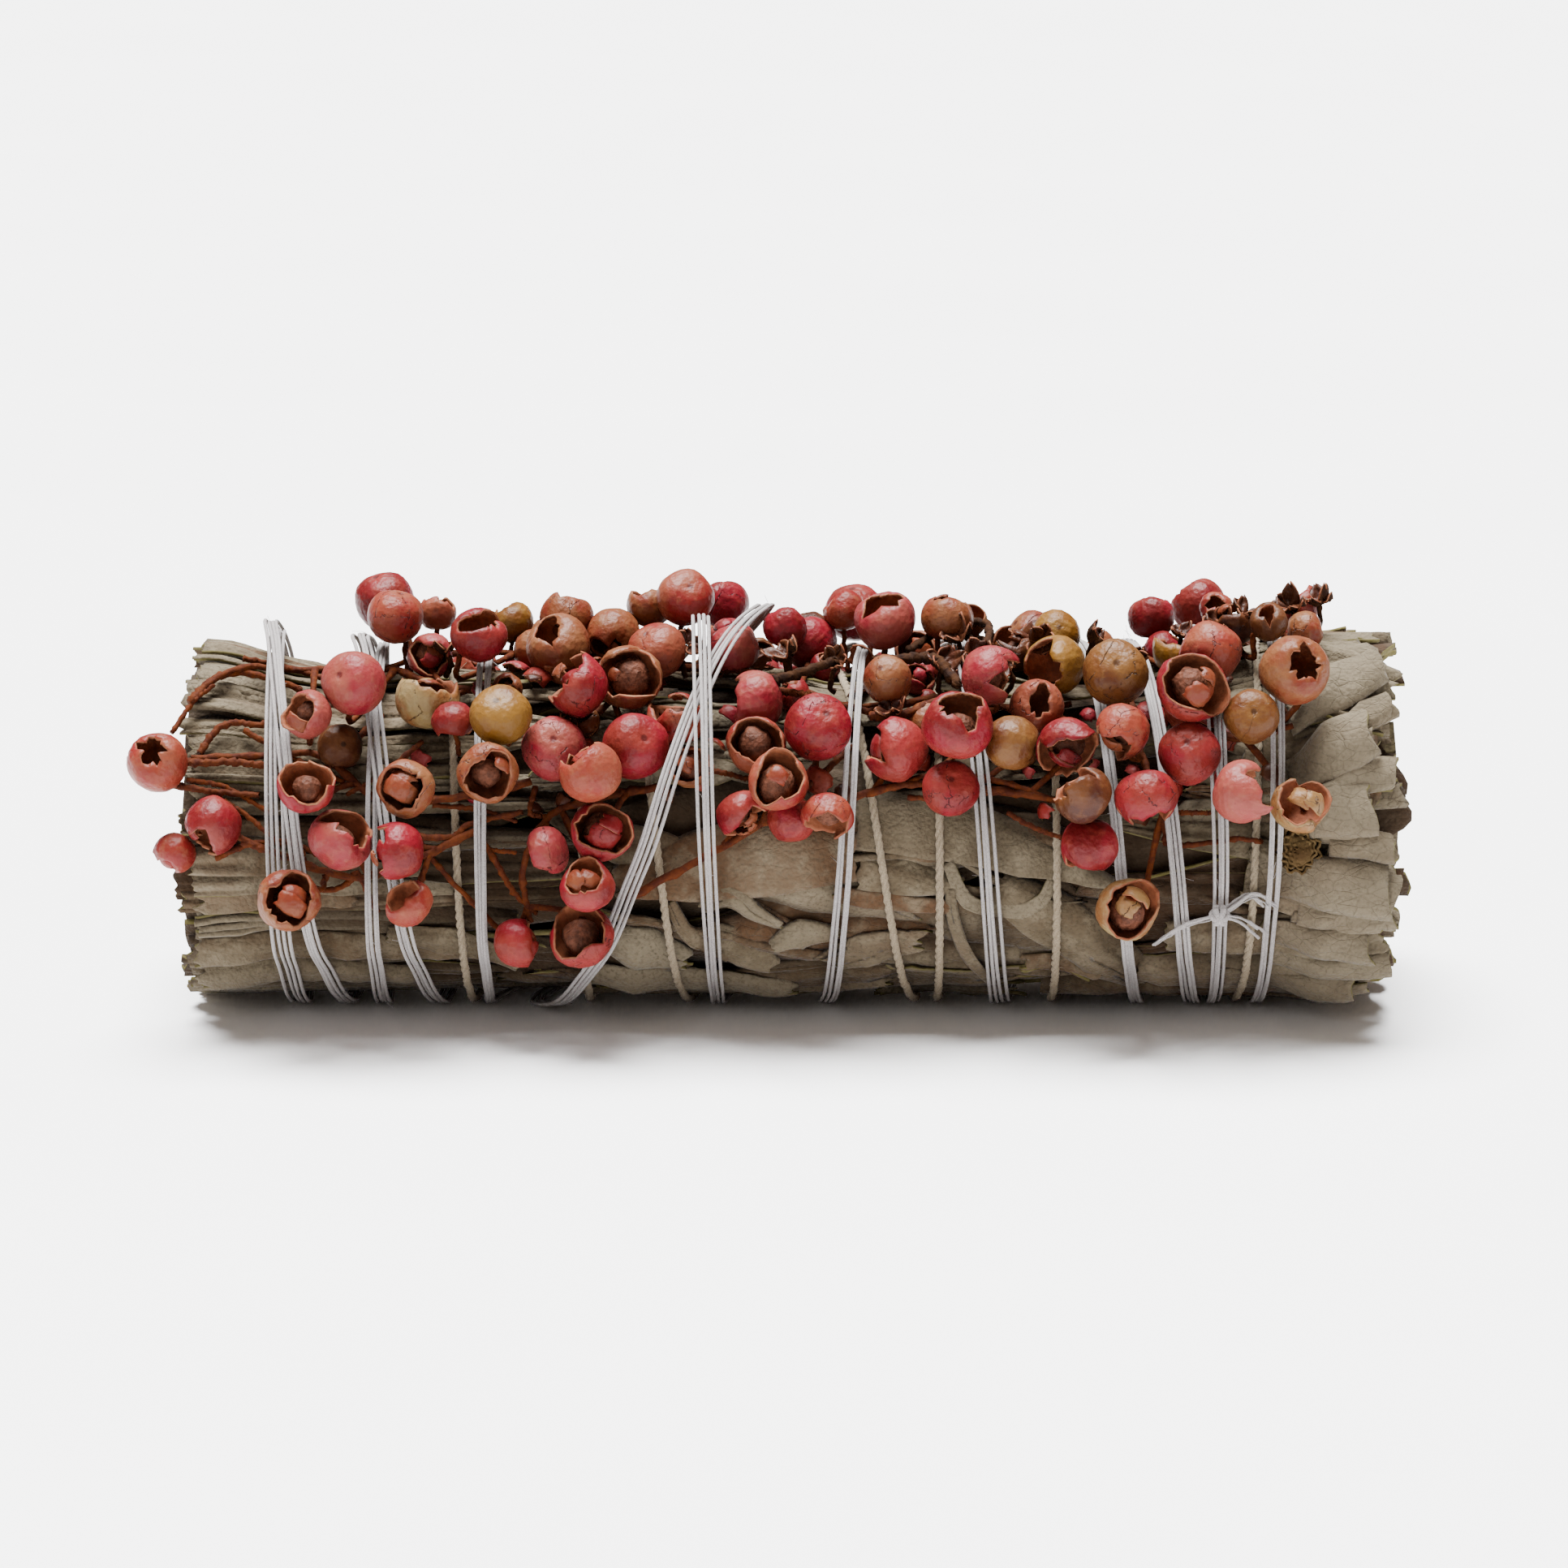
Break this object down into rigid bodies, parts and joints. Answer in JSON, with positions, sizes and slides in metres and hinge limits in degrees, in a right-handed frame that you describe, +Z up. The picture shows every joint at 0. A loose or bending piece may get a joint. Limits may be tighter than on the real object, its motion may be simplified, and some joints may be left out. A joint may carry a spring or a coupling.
{
  "type": "sage smudge stick",
  "caption": "Bundle of dried white sage leaves bound with cotton string, dressed with sprays of pink pepper berries.",
  "frame": {"origin": "on the surface the stick lies on, under the middle of its overall box", "axes": "+X along the stick towards the leaf tips, +Z up, -Y towards the side the berries face"},
  "size_m": [0.1031, 0.0412, 0.0357],
  "materials": {
    "sage_leaf": "matt, velvety, pebbled",
    "sage_inner": "matt, fibrous",
    "pepper_husk": "papery, slightly satin",
    "white_cotton": "matt cotton",
    "cream_cotton": "matt cotton"
  },
  "bodies": {
    "root": {"sage_inner_bunch": "sage_inner", "sage_leaf_stalk_end_1": "sage_leaf", "sage_leaf_stalk_end_2": "sage_leaf", "sage_leaf_stalk_end_3": "sage_leaf", "sage_leaf_stalk_end_4": "sage_leaf", "sage_leaf_stalk_end_5": "sage_leaf", "sage_leaf_stalk_end_6": "sage_leaf", "sage_leaf_stalk_end_7": "sage_leaf", "sage_leaf_stalk_end_8": "sage_leaf", "sage_leaf_middle_1": "sage_leaf", "sage_leaf_middle_2": "sage_leaf", "sage_leaf_middle_3": "sage_leaf", "sage_leaf_middle_4": "sage_leaf", "sage_leaf_middle_5": "sage_leaf", "sage_leaf_middle_6": "sage_leaf", "sage_leaf_middle_7": "sage_leaf", "sage_leaf_middle_8": "sage_leaf", "sage_leaf_tip_end_1": "sage_leaf", "sage_leaf_tip_end_2": "sage_leaf", "sage_leaf_tip_end_3": "sage_leaf", "sage_leaf_tip_end_4": "sage_leaf", "sage_leaf_tip_end_5": "sage_leaf", "sage_leaf_tip_end_6": "sage_leaf", "sage_leaf_tip_end_7": "sage_leaf", "sage_leaf_tip_end_8": "sage_leaf", "cream_cord": "cream_cotton", "white_string": "white_cotton", "spray_low_left": "pepper_husk", "spray_left": "pepper_husk", "spray_upper_left": "pepper_husk", "spray_top_left": "pepper_husk", "spray_low_middle": "pepper_husk", "spray_middle": "pepper_husk", "spray_long": "pepper_husk", "spray_low_right": "pepper_husk", "spray_right": "pepper_husk", "spray_top_right": "pepper_husk", "spray_hanging": "pepper_husk", "spray_far_right": "pepper_husk", "spray_last": "pepper_husk", "spray_back_left": "pepper_husk", "spray_back_right": "pepper_husk"}
  },
  "joints": []
}
